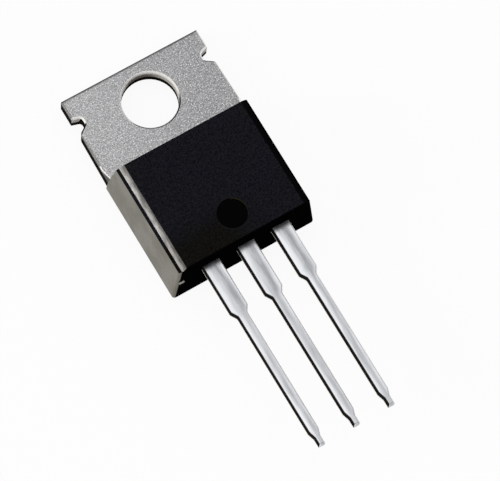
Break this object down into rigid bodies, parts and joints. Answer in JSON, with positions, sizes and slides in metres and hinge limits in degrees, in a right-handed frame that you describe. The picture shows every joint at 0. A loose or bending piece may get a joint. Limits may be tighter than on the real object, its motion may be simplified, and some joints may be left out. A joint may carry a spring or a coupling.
{
  "type": "power mosfet",
  "caption": "Power transistor in a flat moulded package with a bolt-down metal tab and three straight through-hole leads.",
  "frame": {"origin": "on the flat back face, at the axis of the tab's mounting hole", "axes": "+Y from the hole to the tab's free end, the leads point to -Y; +X to the right when the front is faced with the leads down; +Z out of the front face"},
  "size_m": [0.0104, 0.028, 0.0045],
  "materials": {
    "plated_tab": "matt nickel plate, fine sandy grain",
    "tinned_lead": "satin bright tin",
    "black_epoxy": "matt moulded epoxy",
    "silicon": "polished, metallised top",
    "solder": "dull solder",
    "bond_wire": "drawn wire"
  },
  "bodies": {
    "root": {"drain_tab": "plated_tab", "gate_lead": "tinned_lead", "source_lead": "tinned_lead", "moulded_body": "black_epoxy", "silicon_die": "silicon", "die_solder": "solder", "source_wire_1": "bond_wire", "source_wire_2": "bond_wire", "gate_wire": "bond_wire"}
  },
  "joints": []
}
